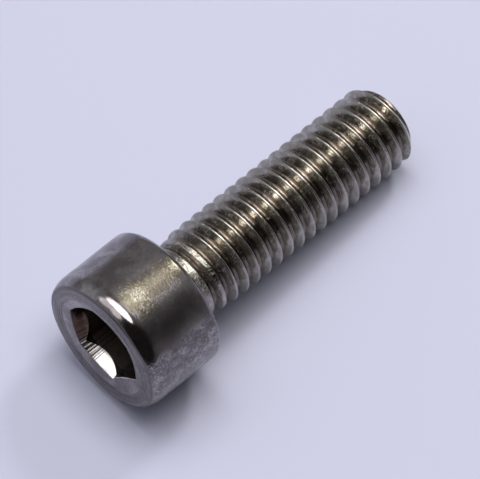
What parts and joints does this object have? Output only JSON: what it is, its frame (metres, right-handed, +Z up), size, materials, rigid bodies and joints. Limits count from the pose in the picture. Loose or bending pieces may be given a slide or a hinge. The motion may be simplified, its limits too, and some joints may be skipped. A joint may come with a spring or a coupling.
{
  "type": "hex socket cap screw",
  "caption": "Round-headed machine screw with a hex socket in its head, a short neck and a coarse thread over the rest of its shank.",
  "frame": {"origin": "centre of the footprint, on the surface that the screw lies on", "axes": "+X along the screw's length from head to tip, +Y across it, +Z up; the screw's axis dips about 6 degrees towards the tip"},
  "size_m": [0.0262, 0.0098, 0.0103],
  "materials": {
    "stainless": "bright turned stainless steel with fine scratches and grey mottling"
  },
  "bodies": {
    "root": {"cap_screw": "stainless"}
  },
  "joints": []
}
